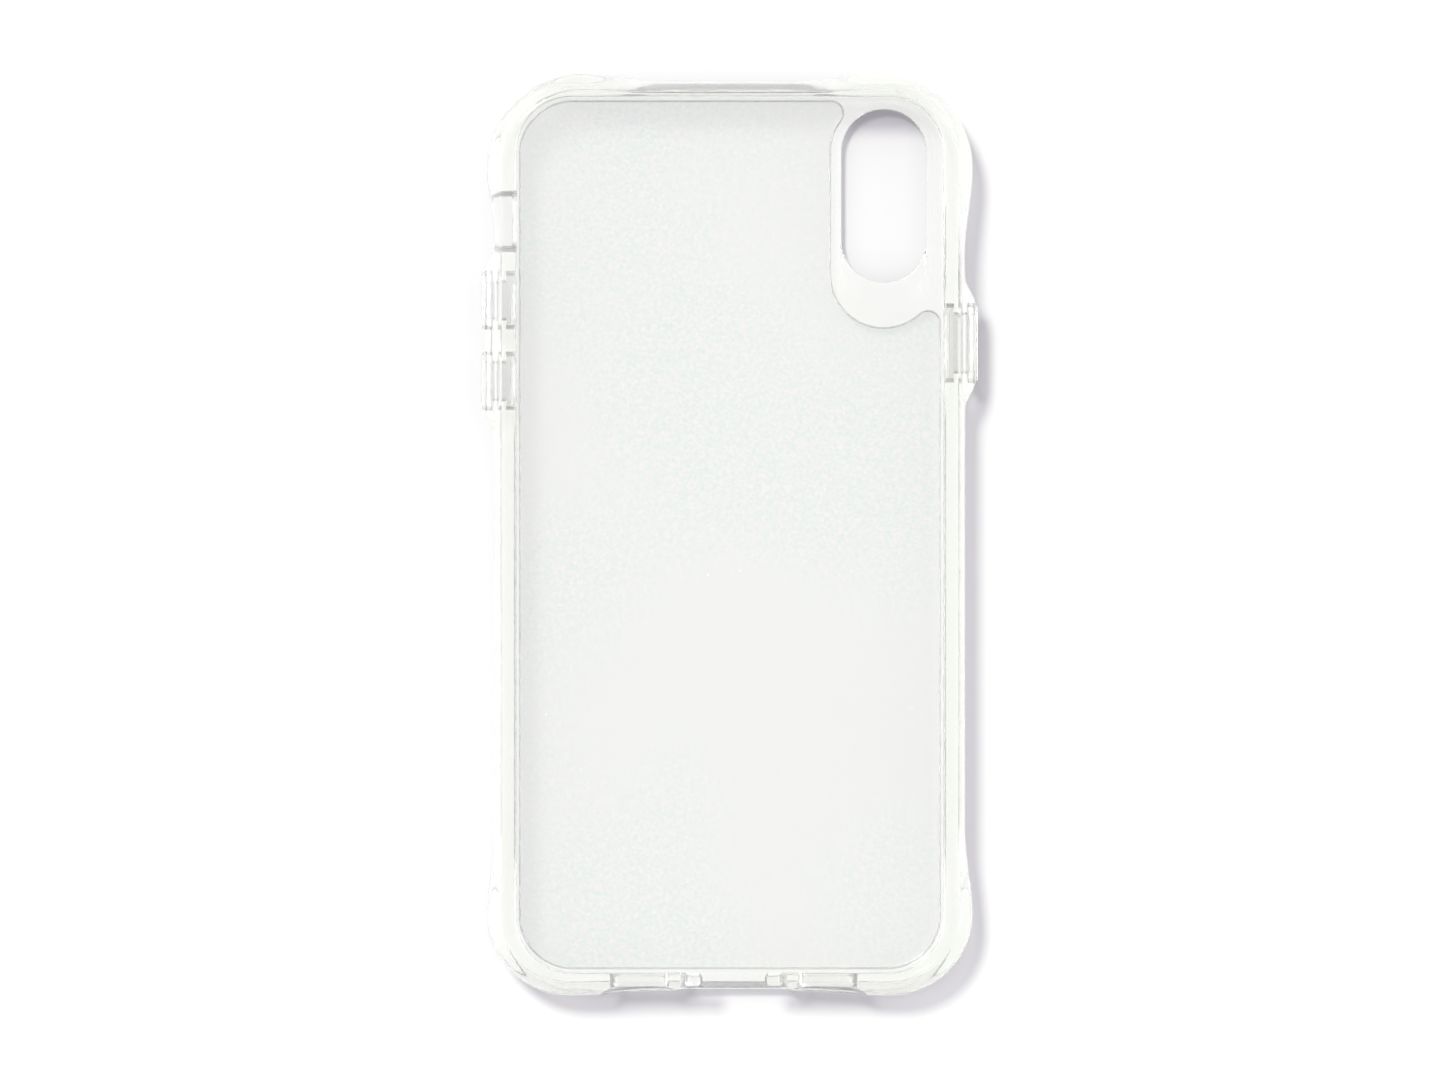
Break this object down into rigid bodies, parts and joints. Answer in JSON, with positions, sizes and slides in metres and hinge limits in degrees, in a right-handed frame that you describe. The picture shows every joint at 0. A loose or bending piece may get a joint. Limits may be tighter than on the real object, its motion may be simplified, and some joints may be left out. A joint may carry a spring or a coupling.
{
  "type": "phone case",
  "caption": "Clear hybrid phone case with a hard back panel, a soft bumper with swollen corners, a camera opening and push-through side buttons.",
  "frame": {"origin": "middle of the case in plan, on the plane that the back ring lies on", "axes": "+Z from the back towards the screen side, +Y towards the camera end, +X towards the power-button side"},
  "size_m": [0.0814, 0.1512, 0.0112],
  "materials": {
    "clear_hard_panel": "clear hard plastic with a very fine satin grain and a faint cool grey tint",
    "clear_soft_bumper": "polished clear flexible plastic with a faint warm tint where it is thick",
    "clear_button": "polished clear plastic"
  },
  "bodies": {
    "case": {"back_panel": "clear_hard_panel", "bumper_frame": "clear_soft_bumper"},
    "volume_up": {"volume_up_button": "clear_button"},
    "volume_down": {"volume_down_button": "clear_button"},
    "power": {"power_button": "clear_button"}
  },
  "joints": [
    {"name": "volume_up_press", "type": "slide", "parent": "case", "child": "volume_up", "axis": [1, 0, 0], "range_m": [0, 0.00035], "stiffness_N_per_m": 1000},
    {"name": "volume_down_press", "type": "slide", "parent": "case", "child": "volume_down", "axis": [1, 0, 0], "range_m": [0, 0.00035], "stiffness_N_per_m": 1000},
    {"name": "power_press", "type": "slide", "parent": "case", "child": "power", "axis": [-1, 0, 0], "range_m": [0, 0.00035], "stiffness_N_per_m": 1000}
  ]
}
